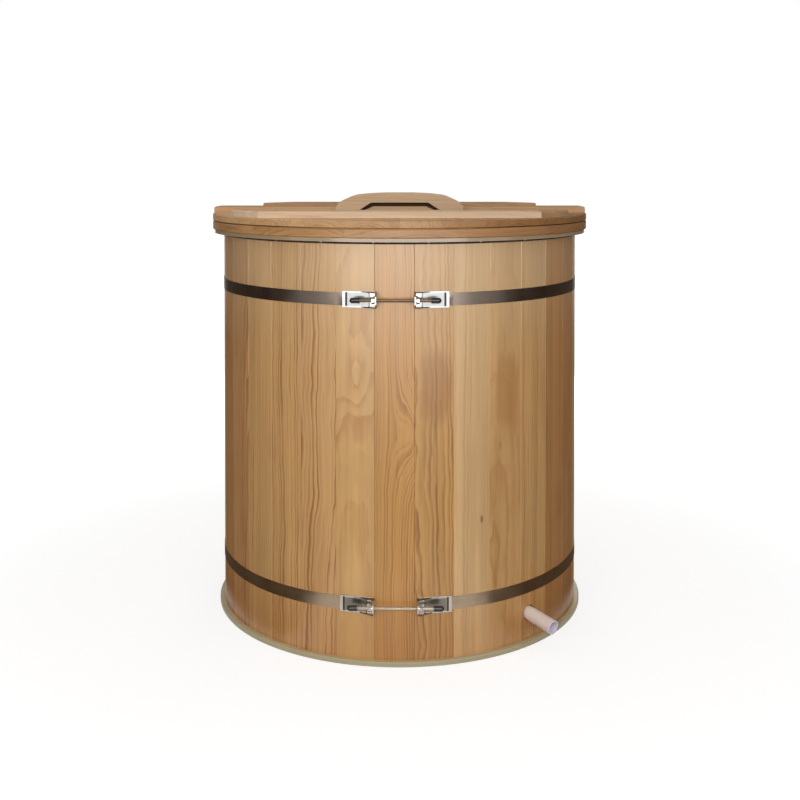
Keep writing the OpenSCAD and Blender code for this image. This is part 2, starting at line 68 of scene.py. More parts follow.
# The clasps: how a lug's plate leans and how far its face is from the tub's axis, how far the cut
# edges of its gussets, which are painted dark as shade, are from the hoop's middle and out of that
# face, and how far the hoop's ends reach, which get a painted reflection
lug_lean = math.radians(10.5)
plate_out = 0.4532
gusset_from = 0.0148
gusset_fade = 0.0006
gusset_out_from = 0.0004
gusset_out_to = 0.0012
bridge_reach = 0.11
bridge_fade = 0.004

# The rods' threads, the gap at each end of a rod, and how many rows of points a turn of the
# thread has and how many points a row has
thread_pitch = 0.00125
thread_r = 0.004
thread_deep = 0.00045
thread_gap = 0.0002
thread_rows = 6
thread_around = 20

# The screws. Half the length and half the width of the cross are shares of the head's radius, and
# its floor is a share of its outline. A screw's head is up where its top face is wider than
# head_share of the head, and points within flat_within of the top belong to that face
shank_r = 0.002
head_rim = 0.0006
head_deep = 0.0026
cross_long = 0.52
cross_wide = 0.12
cross_deep = 0.0016
cross_taper = 0.45
screw_around = 24
flat_within = 0.0001
head_share = 0.8

# The handle's recess, by the distance from its middle, by the depth behind the handle's front and
# by the height over its foot. It is painted paler as light, and its top gets painted shade, which
# comes down at its ends
recess_half = 0.1145
recess_top = 0.0275
recess_back_from = 0.002
recess_back_to = 0.008
recess_shade_from = 0.0145
recess_shade_to = 0.018
recess_end_from = 0.067
recess_end_to = 0.095
recess_end_drop = 0.012

# A stave's top is painted paler, a painted sheen, and its foot darker, a painted shade, by height.
# The painted shadow under the flange is measured down from its top end
painted_sheen_from = 0.62
painted_sheen_to = 0.95
foot_shade_from = 0.2
foot_shade_to = 0.03
flange_shadow_from = 0.0068
flange_shadow_to = 0.005

# The lower corner of the lid's edge, in its joint with the rim, gets painted shade, by the height
# over the panel's foot and by the depth in from its edge. The shade is weaker in front and behind
# than at the sides
gap_shade_full_up = 0.0014
gap_shade_none_up = 0.0028
gap_shade_full_in = 0.003
gap_shade_none_in = 0.006
weak_aside = 0.12
strong_aside = 0.3

# The front batten's right end, painted darker as shade
shaded_end_x = 0.321
shaded_end_fade = 0.005

# Steps from one piece's seed to the next one's, and what shifts the draws of the rim and the lid
stave_seed = 1.37
rim_seed = 2.3
lid_seed = 1.9
rim_draw = 3.7
lid_draw = 0.4


def colour(red, green, blue):
    """A screen colour, 0 to 255, in the linear values that shaders take."""
    def linear(v):
        v /= 255
        return v / 12.92 if v <= 0.04045 else ((v + 0.055) / 1.055) ** 2.4
    return (linear(red), linear(green), linear(blue), 1.0)


# Colours that change the pine in places. All but the knot's are painted light and shade. A tint is
knot_brown = colour(122, 78, 46)
painted_sheen_pine = colour(228, 200, 160)
foot_shade_tint = (0.87, 0.76, 0.62, 1)
flange_shadow_brown = colour(36, 16, 4)
gap_shade_brown = colour(66, 38, 20)
end_shade_tint = (0.62, 0.5, 0.38, 1)
recess_lit_pine = colour(226, 190, 150)
recess_shade_brown = colour(56, 30, 2)


class Graph:
    """Short ways to add nodes to one shader tree. A value may be a number or another's socket."""

    # The Mix node's sockets for colours
    share_in, first_in, second_in, mixed_out = 0, 6, 7, 2

    def __init__(self, tree):
        self.tree = tree

    def node(self, kind, **values):
        made = self.tree.nodes.new(kind)
        for key, value in values.items():
            setattr(made, key, value)
        return made

    def put(self, socket, value):
        if isinstance(value, bpy.types.NodeSocket):
            self.tree.links.new(value, socket)
        else:
            socket.default_value = value

    def math(self, operation, *values, clamp=False):
        made = self.node("ShaderNodeMath", operation=operation, use_clamp=clamp)
        for socket, value in zip(made.inputs, values):
            self.put(socket, value)
        return made.outputs[0]

    def product(self, first, *others):
        """All the values multiplied."""
        for other in others:
            first = self.math("MULTIPLY", first, other)
        return first

    def vector(self, operation, *values):
        made = self.node("ShaderNodeVectorMath", operation=operation)
        for socket, value in zip(made.inputs, values):
            self.put(socket, value)
        return made.outputs["Value"] if operation in ("LENGTH", "DOT_PRODUCT") else made.outputs[0]

    def scaled(self, vector, by):
        """The vector times a number."""
        made = self.node("ShaderNodeVectorMath", operation="SCALE")
        self.put(made.inputs[0], vector)
        self.put(made.inputs["Scale"], by)
        return made.outputs[0]

    def split(self, vector):
        made = self.node("ShaderNodeSeparateXYZ")
        self.put(made.inputs[0], vector)
        return made.outputs

    def join(self, x, y, z):
        made = self.node("ShaderNodeCombineXYZ")
        for socket, value in zip(made.inputs, (x, y, z)):
            self.put(socket, value)
        return made.outputs[0]

    def turn(self, vector, angle):
        """The vector turned about Z."""
        made = self.node("ShaderNodeVectorRotate", rotation_type="Z_AXIS")
        self.put(made.inputs["Vector"], vector)
        self.put(made.inputs["Angle"], angle)
        return made.outputs[0]

    def place(self):
        """Where a point is on the object, in metres, in the part's own frame."""
        return self.node("ShaderNodeTexCoord").outputs["Object"]

    def noise(self, vector, stretch, detail=2.0, rough=0.5):
        """Noise whose vector is first multiplied by stretch: (value, colour)."""
        made = self.node("ShaderNodeTexNoise")
        self.put(made.inputs["Vector"], self.vector("MULTIPLY", vector, stretch))
        made.inputs["Scale"].default_value = 1.0
        made.inputs["Detail"].default_value = detail
        made.inputs["Roughness"].default_value = rough
        return made.outputs["Fac"], made.outputs["Color"]

    def draws(self, number):
        """Three random values from 0 to 1 that change with the number."""
        made = self.node("ShaderNodeTexWhiteNoise", noise_dimensions="1D")
        self.put(made.inputs["W"], number)
        parts = self.split(made.outputs["Color"])
        return made.outputs["Value"], parts[0], parts[1]

    def remap(self, value, low, high, to_low=0.0, to_high=1.0, smooth=True):
        """Brings a value from low and high to to_low and to_high, and holds it between these."""
        kind = "SMOOTHSTEP" if smooth else "LINEAR"
        made = self.node("ShaderNodeMapRange", interpolation_type=kind)
        for key, v in (("Value", value), ("From Min", low), ("From Max", high),
                       ("To Min", to_low), ("To Max", to_high)):
            self.put(made.inputs[key], v)
        return made.outputs[0]

    def mix(self, share, a, b, blend="MIX"):
        made = self.node("ShaderNodeMix", data_type="RGBA", blend_type=blend, clamp_factor=True)
        self.put(made.inputs[self.share_in], share)
        self.put(made.inputs[self.first_in], a)
        self.put(made.inputs[self.second_in], b)
        return made.outputs[self.mixed_out]

    def toned(self, tint, value, low, high, darkest, lightest):
        """The tint times a grey, which goes from darkest to lightest as value goes from low to high."""
        grey = self.node("ShaderNodeCombineColor")
        level = self.remap(value, low, high, darkest, lightest)
        for socket in grey.inputs[:3]:
            self.put(socket, level)
        return self.mix(1.0, tint, grey.outputs[0], "MULTIPLY")

    def bump(self, height, distance, strength=1.0):
        made = self.node("ShaderNodeBump")
        self.put(made.inputs["Height"], height)
        made.inputs["Distance"].default_value = distance
        made.inputs["Strength"].default_value = strength
        return made.outputs[0]


def new_graph(owner):
    """An empty shader tree for a material or a world."""
    owner.use_nodes = True
    owner.node_tree.nodes.clear()
    return Graph(owner.node_tree)


def material(name, metal=0.0, rough=0.5, gloss=0.5, coat=0.0, coat_rough=0.1):
    """A new material: (material, its graph, its shader). Values that don't vary are set here."""
    made = bpy.data.materials.new(name)
    graph = new_graph(made)
    out = graph.node("ShaderNodeOutputMaterial")
    shader = graph.node("ShaderNodeBsdfPrincipled")
    graph.put(out.inputs["Surface"], shader.outputs[0])
    shader.inputs["Metallic"].default_value = metal
    shader.inputs["Roughness"].default_value = rough
    shader.inputs["Specular IOR Level"].default_value = gloss
    shader.inputs["Coat Weight"].default_value = coat
    shader.inputs["Coat Roughness"].default_value = coat_rough
    return made, graph, shader


def dress(mat, *names):
    """Gives CAD nodes their material."""
    for name in names:
        nodes[name].data.materials.clear()
        nodes[name].data.materials.append(mat)


def add_object(name, data):
    made = bpy.data.objects.new(name, data)
    bpy.context.scene.collection.objects.link(made)
    return made


def add_mesh(name, points, faces):
    mesh = bpy.data.meshes.new(name)
    mesh.from_pydata(points, [], faces)
    return add_object(name, mesh)


# Pine is one node group. Its vector is a board's own: X across, Y from face to back, Z along.
# Growth rings are cylinders about a pith beside or behind the board, so that a board cut near the
# pith shows straight lines, a flat one shows loops, and its ends show arcs.
nowhere = (0, 0, -5)
pine_inputs = (
    ("Vector", "Vector", (0, 0, 0)),
    ("Seed", "Float", 0.0),
    ("Pith", "Vector", (0, 0.08, 0)),
    ("Lean", "Vector", (0, 0.03, 0)),
    ("Ring", "Float", 0.007),
    ("Wander", "Float", 0.012),
    ("Early", "Color", colour(214, 174, 126)),
    ("Late", "Color", colour(170, 120, 70)),
    ("Patch", "Color", colour(176, 112, 66)),
    ("Contrast", "Float", 0.8),
    ("Patches", "Float", 0.3),
    ("Knot", "Vector", nowhere),
    ("Knot size", "Float", 0.01),
    ("Knot depth", "Float", 0.7),
    ("Swirl", "Float", 2.6),
    ("Stain", "Vector", nowhere),
    ("Stain half", "Vector", (0.03, 1, 0.1)),
)
pine_outputs = (("Colour", "Color"), ("Roughness", "Float"), ("Height", "Float"))

# How far a seed moves the noises of the pine, and how its knots and noises are stretched, each
# across, from face to back and along the board
seed_shift = (13.1, 7.7, 3.9)
knot_stretch = (1, 0.3, 0.42)
wander_stretch = (2.2, 2.2, 1.6)
uneven_stretch = (30, 30, 5.0)
wave_stretch = (12, 12, 15)
fibre_stretch = (700, 700, 14)
streak_stretch = (150, 150, 4.5)
cloud_stretch = (9, 9, 3.2)
band_stretch = (46, 46, 1.1)
stain_stretch = (60, 60, 14)

# How far each unevenness moves a ring, in rings, from its least to its most
uneven_rings = 1.5
wave_rings = 1.1
year_rings = 2.2


def knot_shares(g, given):
    """How dark a knot makes a point, and how much it pushes the rings aside there."""
    aside = g.vector("SUBTRACT", given["Vector"], given["Knot"])
    aside = g.vector("MULTIPLY", aside, knot_stretch)
    near = g.math("DIVIDE", g.vector("LENGTH", aside), given["Knot size"])
    dark = g.product(g.remap(near, 0.55, 1.0, 1.0, 0.0), given["Knot depth"])
    push = g.math("EXPONENT", g.product(near, near, -0.16))
    return dark, g.product(push, given["Swirl"])


def pith_distance(g, given, at):
    """How far a point is from the pith, which leans and wanders along the board."""
    x, y, z = g.split(given["Vector"])
    wander = g.vector("SUBTRACT", g.noise(at, wander_stretch)[1], (0.5, 0.5, 0.5))
    sway = g.scaled(wander, g.product(given["Wander"], 2.0))
    lean = g.scaled(given["Lean"], z)
    off = g.vector("SUBTRACT", g.join(x, y, 0.0), given["Pith"])
    off = g.vector("ADD", g.vector("SUBTRACT", off, lean), sway)
    return g.vector("LENGTH", g.vector("MULTIPLY", off, (1, 1, 0)))


def ring_count(g, given, at, push):
    """How many growth rings lie between the pith and a point. Good and bad years vary their width."""
    uneven = g.math("SUBTRACT", g.noise(at, uneven_stretch, detail=3.0, rough=0.6)[0], 0.5)
    waves = g.noise(at, wave_stretch, detail=1.0)[0]
    count = g.math("DIVIDE", pith_distance(g, given, at), given["Ring"])
    count = g.math("ADD", count, g.product(uneven, uneven_rings))
    count = g.math("ADD", count, g.product(waves, wave_rings))
    count = g.math("ADD", count, push)
    age = g.join(g.product(count, 0.45), given["Seed"], 0.0)
    years = g.noise(age, (1, 1, 1), detail=1.0)[0]
    return g.math("ADD", count, g.product(years, year_rings))


def late_share(g, given, count, streak):
    """How much late wood a point has. A ring is pale, then darkens to a sharp outer edge."""
    part = g.math("FRACT", count)
    late = g.product(g.remap(part, 0.25, 0.86), g.remap(part, 0.9, 1.0, 1.0, 0.0))
    ring = g.math("ADD", g.math("FLOOR", count), g.product(given["Seed"], 11.0))
    late = g.product(late, g.remap(g.draws(ring)[0], 0.0, 1.0, 0.2, 1.1), given["Contrast"])
    return g.math("MULTIPLY", late, g.remap(streak, 0.3, 0.65, 0.45, 1.15), clamp=True)


def stain_share(g, given, at):
    """How much of a resin stain a point has. The stain has round corners and uneven edges."""
    aside = g.vector("ABSOLUTE", g.vector("SUBTRACT", given["Vector"], given["Stain"]))
    reach = g.split(g.vector("DIVIDE", aside, given["Stain half"]))
    cubes = g.math("ADD", g.math("POWER", reach[0], 3.0), g.math("POWER", reach[2], 3.0))
    edge = g.math("SUBTRACT", g.noise(at, stain_stretch, detail=3.0, rough=0.6)[0], 0.5)
    far = g.math("ADD", g.math("POWER", cubes, 0.333), g.product(edge, 0.8))
    return g.remap(far, 0.6, 1.1, 1.0, 0.0)


def pine_group():
    """Makes the node group that gives a point its colour, its roughness and its height."""
    tree = bpy.data.node_groups.new("pine", "ShaderNodeTree")
    for name, kind, value in pine_inputs:
        socket = tree.interface.new_socket(name, in_out="INPUT", socket_type="NodeSocket" + kind)
        socket.default_value = value
    for name, kind in pine_outputs:
        tree.interface.new_socket(name, in_out="OUTPUT", socket_type="NodeSocket" + kind)
    g = Graph(tree)
    given = g.node("NodeGroupInput").outputs
    out = g.node("NodeGroupOutput").inputs
    at = g.vector("ADD", given["Vector"], g.scaled(seed_shift, given["Seed"]))
    fibre = g.noise(at, fibre_stretch, detail=3.0, rough=0.6)[0]
    streak = g.noise(at, streak_stretch, detail=3.0, rough=0.6)[0]
    cloud = g.noise(at, cloud_stretch, detail=4.0, rough=0.6)[0]
    band = g.noise(at, band_stretch)[0]

    knot, push = knot_shares(g, given)
    late = late_share(g, given, ring_count(g, given, at, push), streak)
    body = g.mix(late, given["Early"], given["Late"])
    body = g.mix(g.product(g.remap(cloud, 0.48, 0.68), given["Patches"]), body, given["Patch"])
    body = g.toned(body, band, 0.25, 0.75, darkest=0.9, lightest=1.07)
    body = g.toned(body, fibre, 0.2, 0.8, darkest=0.92, lightest=1.06)
    body = g.mix(g.remap(streak, 0.6, 0.72, 0.0, 0.3), body, given["Late"])
    body = g.mix(knot, body, knot_brown)
    body = g.mix(g.product(stain_share(g, given, at), 0.55), body, given["Patch"])
    g.put(out["Colour"], body)
    rough = g.remap(fibre, 0.2, 0.8, 0.31, 0.40)
    g.put(out["Roughness"], g.math("ADD", rough, g.product(late, -0.03)))
    g.put(out["Height"], g.math("ADD", g.product(fibre, 0.5), g.product(late, 0.6)))
    return tree


pine = pine_group()


def wood(g, shader, vector, **values):
    """Puts the pine group between a board's vector and the shader, and returns the group's node."""
    grain = g.node("ShaderNodeGroup", node_tree=pine)
    g.put(grain.inputs["Vector"], vector)
    for key, value in values.items():
        g.put(grain.inputs[key.replace("_", " ").capitalize()], value)
    g.put(shader.inputs["Base Color"], grain.outputs["Colour"])
    g.put(shader.inputs["Roughness"], grain.outputs["Roughness"])
    g.put(shader.inputs["Normal"], g.bump(grain.outputs["Height"], distance=0.00035, strength=0.6))
    return grain


# Tones of pine: the early wood, the late wood and the colour of its patches
tones = {
    "pale": (colour(221, 180, 126), colour(186, 130, 68), colour(200, 145, 88)),
    "honey": (colour(214, 167, 108), colour(170, 110, 52), colour(180, 123, 66)),
    "golden": (colour(210, 160, 94), colour(162, 104, 46), colour(178, 118, 56)),
    "warm": (colour(206, 156, 98), colour(162, 105, 53), colour(170, 115, 66)),
    "brown": (colour(205, 153, 97), colour(158, 101, 49), colour(162, 107, 56)),
    "amber": (colour(205, 150, 78), colour(154, 98, 41), colour(172, 113, 51)),
    "tan": (colour(206, 155, 86), colour(154, 101, 46), colour(160, 105, 51)),
    "straw": (colour(215, 168, 104), colour(182, 125, 62), colour(194, 136, 76)),
    "dusk": (colour(197, 141, 84), colour(146, 92, 45), colour(150, 95, 49)),
}

# The looks of the staves that show in front, by the stave's number. Knots and stains are placed
# by how far across and how high they are. The other staves draw their looks
# A stave's sheen share is how much painted sheen its top gets
front_staves = {
    32: dict(tone="amber", pith=(-0.09, 0.05, 0), lean=(0.008, 0.012, 0), ring=0.0052,
             contrast=0.7, patches=0.15, knot=(0.045, 0, 0.505), knot_size=0.0155,
             knot_depth=0.0, swirl=-7.8, bleach=0.15),
    1: dict(tone="tan", pith=(-0.07, 0.07, 0), lean=(0.01, 0.02, 0), ring=0.0075,
            contrast=0.8, patches=0.35, wander=0.02, stain=(0.004, 0, 0.612),
            stain_half=(0.04, 1, 0.09), bleach=0.25),
    2: dict(tone="pale", pith=(0.14, 0.05, 0), lean=(0.01, 0.0, 0), ring=0.009,
            contrast=0.4, patches=0.15, knot=(0.0236, 0, 0.311), knot_size=0.0045),
    3: dict(tone="honey", pith=(-0.03, 0.07, 0), lean=(0.02, 0.03, 0), ring=0.008,
            contrast=0.55, patches=0.3, stain=(0.004, 0, 0.586), stain_half=(0.036, 1, 0.1),
            bleach=0.45),
    4: dict(tone="honey", pith=(0.12, 0.04, 0), lean=(0.0, 0.01, 0), ring=0.005,
            contrast=0.75, patches=0.25, bleach=0.55),
    5: dict(tone="dusk", pith=(-0.1, 0.05, 0), lean=(0.01, 0.01, 0), ring=0.006,
            contrast=0.6, patches=0.3),
    6: dict(tone="dusk", pith=(0.05, 0.08, 0), lean=(0.0, 0.02, 0), ring=0.007,
            contrast=0.6, patches=0.3),
    31: dict(tone="straw", pith=(0.0, 0.09, 0), lean=(0.02, 0.05, 0), ring=0.0085,
             contrast=0.6, patches=0.3, knot=(0.004, 0, 0.635), knot_size=0.012,
             knot_depth=0.1, swirl=2.6, stain=(0.008, 0, 0.517), stain_half=(0.015, 1, 0.034)),
    30: dict(tone="honey", pith=(0.09, 0.05, 0), lean=(0.02, 0.02, 0), ring=0.0085,
             contrast=1.1, patches=0.35, wander=0.03),
    29: dict(tone="honey", pith=(-0.13, 0.04, 0), lean=(0.0, 0.01, 0), ring=0.0065,
             contrast=0.9, patches=0.35, wander=0.02),
    28: dict(tone="honey", pith=(0.13, 0.05, 0), lean=(0.01, 0.01, 0), ring=0.007,
             contrast=0.85, patches=0.3, bleach=0.4),
    27: dict(tone="brown", pith=(0.05, 0.06, 0), lean=(0.01, 0.02, 0), ring=0.006,
             contrast=0.7, patches=0.3, bleach=0.4),
    26: dict(tone="dusk", pith=(-0.1, 0.05, 0), lean=(0.0, 0.01, 0), ring=0.006,
             contrast=0.7, patches=0.3),
}

# What the other staves draw from. Honey is drawn twice as often as each of the other tones
common_tones = ["pale", "honey", "golden", "warm", "honey"]
knot_chance = 0.25
# The share of painted sheen at the top of a stave that doesn't set its own
usual_sheen_share = 0.3


def drawn_look(numbers):
    """A look from the generator of numbers, for a stave that the photo doesn't show."""
    look = dict(tone=numbers.choice(common_tones),
                pith=(numbers.uniform(-0.12, 0.12), numbers.uniform(0.045, 0.11), 0),
                lean=(numbers.uniform(-0.03, 0.03), numbers.uniform(-0.04, 0.04), 0),
                ring=numbers.uniform(0.005, 0.009), contrast=numbers.uniform(0.5, 0.9),
                patches=numbers.uniform(0.1, 0.6))
    if numbers.random() < knot_chance:
        look["knot"] = (numbers.uniform(-0.025, 0.025), 0, numbers.uniform(0.2, 0.8))
        look["knot_size"] = numbers.uniform(0.005, 0.011)
    return look


def dress_stave(i, tone, bleach=usual_sheen_share, **look):
    """One stave, with a painted sheen towards its top, painted shade at its foot and a painted shadow
    under the flange.
    """
    early, late, patch = tones[tone]
    name = "stave_%02d" % i
    made, g, shader = material("pine_" + name, gloss=0.8)
    angle = math.radians(stave_turn + (i - 0.5) * 360 / stave_count)
    own = g.vector("ADD", g.turn(g.place(), -angle), (0, tub_r, 0))
    grain = wood(g, shader, own, seed=i * stave_seed, early=early, late=late, patch=patch, **look)
    height = g.split(own)[2]
    # Painted sheen: the top is mixed towards a paler pine
    painted_sheen = g.remap(height, painted_sheen_from, painted_sheen_to, 0.0, bleach)
    # Painted shade: the foot is darker
    foot_shade = g.remap(height, foot_shade_to, foot_shade_from, 1.0, 0.0)
    # Painted shadow: a dark band just under the flange's overhang
    flange_shadow = g.remap(height, stave_top - flange_shadow_from, stave_top - flange_shadow_to)
    body = g.mix(painted_sheen, grain.outputs["Colour"], painted_sheen_pine)
    body = g.mix(foot_shade, body, foot_shade_tint, "MULTIPLY")
    g.put(shader.inputs["Base Color"], g.mix(flange_shadow, body, flange_shadow_brown))
    g.put(shader.inputs["Roughness"], g.math("MAXIMUM", grain.outputs["Roughness"], flange_shadow))
    dress(made, name)


def dress_staves():
    """Staves in front draw a look too, which isn't used, so that all the others keep theirs."""
    numbers = random.Random(4)
    for i in range(1, stave_count + 1):
        drawn = drawn_look(numbers)
        dress_stave(i, **front_staves.get(i, drawn))


def dress_rim():
    """Twelve curved segments, each cut from a straight board. Their colour is painted darker from left
    to right as shade, with a random share for each segment.
    """
    made, g, shader = material("pine_rim", gloss=0.35)
    place = g.place()
    x, y = g.split(place)[:2]
    step = 2 * math.pi / rim_count
    first = math.radians(rim_turn)
    around = g.math("ARCTAN2", x, g.product(y, -1.0))
    number = g.math("FLOOR", g.math("DIVIDE", g.math("SUBTRACT", around, first), step))
    middle = g.math("ADD", g.product(g.math("ADD", number, 0.5), step), first)
    own = g.turn(place, g.product(middle, -1.0))
    across, back, up = g.split(g.vector("ADD", own, (0, rim_r, 0)))
    tone, side, depth = g.draws(g.math("ADD", number, rim_draw))
    pith_x = g.remap(side, 0, 1, -0.05, 0.12, smooth=False)
    pith_y = g.remap(depth, 0, 1, 0.99, 1.06, smooth=False)
    # Painted shade: darker towards the right, with a random share for each segment
    reach = g.math("ADD", g.math("DIVIDE", x, rim_r), g.product(tone, 0.3))
    dark = g.remap(reach, -0.3, 1.6)
    early = g.mix(dark, colour(193, 147, 96), colour(160, 112, 72))
    late = g.mix(dark, colour(158, 106, 60), colour(122, 78, 46))
    wood(g, shader, g.join(back, up, across), seed=g.product(number, rim_seed),
         pith=g.join(pith_x, pith_y, 0.0), lean=(0.04, 0.03, 0), ring=0.006, wander=0.01,
         early=early, late=late, patch=colour(166, 106, 58), contrast=0.5, patches=0.35)
    dress(made, "rim")


def lid_gap_shade(g, x, y, z):
    """The share of painted shade at the lower corner of the lid's edge, in its joint with the rim,
    which is more at the sides.
    """
    off_axis = g.vector("LENGTH", g.join(x, y, 0.0))
    low = g.remap(z, lid_low.z + gap_shade_full_up, lid_low.z + gap_shade_none_up, 0.9, 0.0)
    out = g.remap(off_axis, lid_high.x - gap_shade_none_in, lid_high.x - gap_shade_full_in)
    aside = g.remap(g.math("ABSOLUTE", x), weak_aside, strong_aside, 0.25, 1.0)
    return g.product(low, out, aside)


def dress_lid():
    """The panel's boards run from front to back. Their colour is painted darker from left to right as
    shade, with a random share for each board.
    """
    made, g, shader = material("pine_lid", gloss=0.2)
    x, y, z = g.split(g.place())
    wide = 2 * rim_r / lid_boards
    count = g.math("DIVIDE", g.math("ADD", x, rim_r), wide)
    number = g.math("FLOOR", count)
    across = g.product(g.math("SUBTRACT", g.math("SUBTRACT", count, number), 0.5), wide)
    down = g.math("SUBTRACT", lid_high.z, z)
    tone, side, depth = g.draws(g.math("ADD", number, lid_draw))
    pith_x = g.remap(side, 0, 1, -0.09, 0.09, smooth=False)
    pith_y = g.remap(depth, 0, 1, 0.03, 0.1, smooth=False)
    # Painted shade: darker towards the right, with a random share for each board
    reach = g.math("ADD", g.math("DIVIDE", x, rim_r), g.product(tone, 0.5))
    dark = g.remap(reach, -1.0, 1.4)
    early = g.mix(dark, colour(224, 180, 131), colour(154, 108, 64))
    late = g.mix(dark, colour(178, 128, 82), colour(118, 78, 44))
    grain = wood(g, shader, g.join(across, down, y), seed=g.product(number, lid_seed),
                 pith=g.join(pith_x, pith_y, 0.0), lean=(0.02, 0.03, 0), ring=0.006, wander=0.014,
                 early=early, late=late, patch=g.mix(0.5, late, early), contrast=0.5, patches=0.3)
    # Painted shade in the joint between the lid and the rim
    gap_shade_share = lid_gap_shade(g, x, y, z)
    g.put(shader.inputs["Base Color"], g.mix(gap_shade_share, grain.outputs["Colour"], gap_shade_brown))
    dress(made, "lid_panel")


def recess_shares(g, x, y, z, low):
    """The handle's recess: whether a point is in it, and how much painted shade its top and its ends
    get.
    """
    reach = g.math("ABSOLUTE", x)
    wide = g.math("LESS_THAN", reach, recess_half)
    deep = g.remap(y, low.y + recess_back_from, low.y + recess_back_to)
    under = g.math("LESS_THAN", z, low.z + recess_top)
    inside = g.product(wide, deep, under)
    lower = g.remap(reach, recess_end_from, recess_end_to, 0.0, recess_end_drop, smooth=False)
    level = g.math("ADD", z, lower)
    dark = g.remap(level, low.z + recess_shade_from, low.z + recess_shade_to, 0.05, 1.0)
    return inside, g.product(inside, dark)


def dress_batten(name, seed, early, late, contrast=0.5, gloss=0.2, right_end=None, recess=False):
    """A board that runs from left to right. From x = right_end on, its end is painted darker as shade,
    and a recess gets painted light and shade.
    """
    made, g, shader = material("pine_" + name, gloss=gloss)
    x, y, z = g.split(g.place())
    low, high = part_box(name)
    own = g.join(g.math("SUBTRACT", y, (low.y + high.y) / 2), g.math("SUBTRACT", high.z, z), x)
    grain = wood(g, shader, own, seed=seed, pith=(0.02, 0.07, 0), lean=(0.03, 0.02, 0), ring=0.007,
                 early=early, late=late, patch=g.mix(0.5, late, early), contrast=contrast, patches=0.3)
    body = grain.outputs["Colour"]
    if right_end:
        # Painted shade: the right end is darker
        end = g.remap(x, right_end, right_end + shaded_end_fade)
        body = g.mix(end, body, end_shade_tint, "MULTIPLY")
    if recess:
        inside, dark = recess_shares(g, x, y, z, low)
        # Painted light: the recess is a paler pine
        body = g.mix(inside, body, recess_lit_pine)
        # Painted shade at the recess's top, coming down at its ends
        body = g.mix(dark, body, recess_shade_brown)
    g.put(shader.inputs["Base Color"], body)
    dress(made, name)


dress_staves()
dress_rim()
dress_lid()
dress_batten("front_batten", seed=3.1, early=colour(232, 203, 170), late=colour(208, 167, 126),
             gloss=0.08, right_end=shaded_end_x)
dress_batten("centre_batten", seed=5.6, early=colour(206, 164, 118), late=colour(168, 120, 76))
dress_batten("rear_batten", seed=8.2, early=colour(202, 158, 114), late=colour(166, 116, 74))
dress_batten("lid_handle", seed=9.9, early=colour(209, 181, 149), late=colour(186, 154, 120),
             contrast=0.4, gloss=0.06, recess=True)


def steel(name, tint, rough, brushed=0.0, stretch=(4, 4, 900), second=None, where=None):
    """Stainless steel with a brushed or rolled grain and small changes of polish.

    Stretch is the grain's, and where gives the share of the second tint at each point.
    """
    made, g, shader = material(name, metal=1.0)
    place = g.place()
    if where:
        tint = g.mix(where(g), tint, second)
    grain = g.noise(place, stretch, detail=3.0, rough=0.6)[0]
    cloud = g.noise(place, (22, 22, 22), detail=3.0, rough=0.55)[0]
    skin = g.toned(tint, cloud, 0.25, 0.75, darkest=0.9, lightest=1.08)
    skin = g.toned(skin, grain, 0.25, 0.75, darkest=0.94, lightest=1.05)
    polish = g.remap(cloud, 0.2, 0.8, rough - 0.04, rough + 0.05)
    g.put(shader.inputs["Base Color"], skin)
    g.put(shader.inputs["Roughness"], g.math("ADD", polish, g.remap(grain, 0.2, 0.8, -0.02, 0.02)))
    if brushed:
        g.put(shader.inputs["Normal"], g.bump(grain, distance=0.00004, strength=brushed))
    return made


def clasp_place(g):
    """X, Y and Z in the clasps' own frame, X along the rods."""
    return g.split(g.turn(g.place(), math.radians(-clasp_turn)))


def on_bridges(g):
    """The hoop's ends where they lie on the lugs, which get a second tint: a painted reflection,
    lighter on the upper hoop and darker on the lower.
    """
    x, y = clasp_place(g)[:2]
    # Painted reflection: the share of the hoop's second tint
    near = g.remap(g.math("ABSOLUTE", x), bridge_reach, bridge_reach + bridge_fade, 1.0, 0.0)
    return g.product(near, g.math("LESS_THAN", y, 0.0))


def on_gussets(level):
    """The cut edges of the gussets, which stand out from the plates of that hoop's lugs and are painted
    dark as shade.
    """
    hoop_low, hoop_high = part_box(level + "_hoop")
    hoop_z = (hoop_low.z + hoop_high.z) / 2

    def where(g):
        x, y, z = clasp_place(g)
        side = g.product(g.math("ABSOLUTE", x), math.sin(lug_lean))
        out = g.math("SUBTRACT", side, g.product(y, math.cos(lug_lean)))
        beyond = g.remap(out, plate_out + gusset_out_from, plate_out + gusset_out_to)
        aside = g.math("ABSOLUTE", g.math("SUBTRACT", z, hoop_z))
        # Painted shade on the gussets' cut edges
        return g.product(beyond, g.remap(aside, gusset_from, gusset_from + gusset_fade))
    return where


# One steel: the lower hoop and plates are painted lighter than the upper, as light and shade
dress(steel("upper_band", tint=(0.19, 0.152, 0.124, 1), rough=0.3, brushed=0.12,
            second=(0.28, 0.28, 0.28, 1), where=on_bridges), "upper_hoop")
dress(steel("lower_band", tint=(0.39, 0.295, 0.205, 1), rough=0.3, brushed=0.12,
            second=(0.2, 0.18, 0.155, 1), where=on_bridges), "lower_hoop")
dress(steel("upper_plate", tint=(0.3, 0.295, 0.29, 1), rough=0.2, brushed=0.25,
            stretch=(300, 300, 300), second=(0.05, 0.035, 0.025, 1), where=on_gussets("upper")),
      "upper_lug_left", "upper_lug_right")
dress(steel("lower_plate", tint=(0.5, 0.46, 0.41, 1), rough=0.2, brushed=0.25,
            stretch=(300, 300, 300), second=(0.1, 0.07, 0.045, 1), where=on_gussets("lower")),
      "lower_lug_left", "lower_lug_right")
